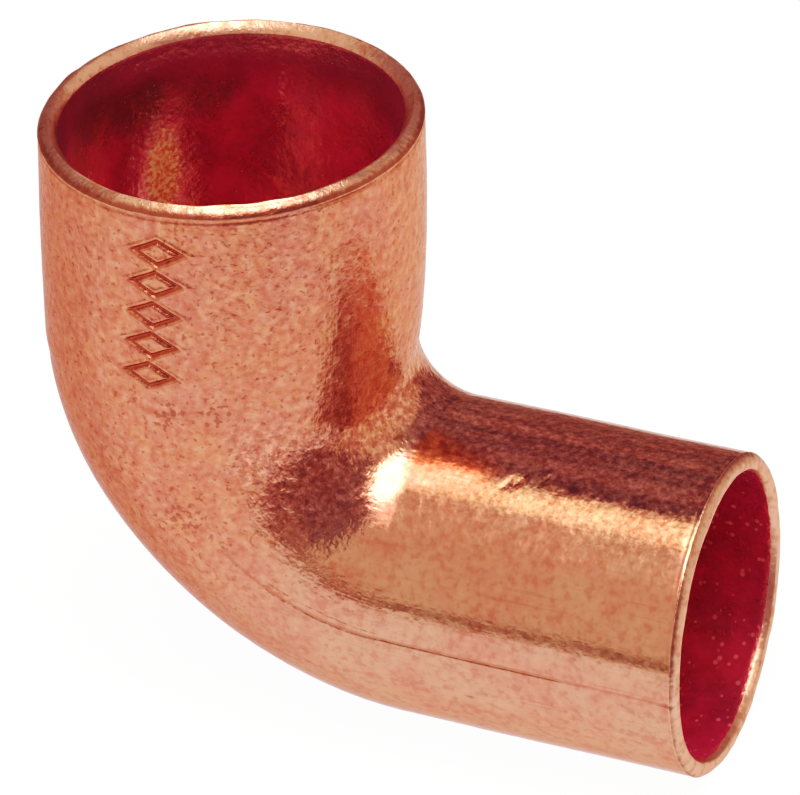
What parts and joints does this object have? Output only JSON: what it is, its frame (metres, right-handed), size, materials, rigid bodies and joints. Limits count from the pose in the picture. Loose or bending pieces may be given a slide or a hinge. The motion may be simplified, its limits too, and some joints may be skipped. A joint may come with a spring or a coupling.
{
  "type": "pipe elbow",
  "caption": "Copper street elbow that turns a soldered tube run through a right angle, with a solder cup at one end and a plain tube-size spigot at the other.",
  "frame": {"origin": "centre of the tube stop at the bottom of the cup, where the end of the joined tube rests", "axes": "+Z out of the cup's mouth, +X out of the spigot's end; Y is square to the plane of the bend"},
  "size_m": [0.0347, 0.0186, 0.0303],
  "materials": {
    "copper": "bare drawn copper: dull, mottled salmon outside with a smoother, shinier spigot, bright deburred rims and deep red oxide inside"
  },
  "bodies": {
    "root": {"elbow_body": "copper"}
  },
  "joints": []
}
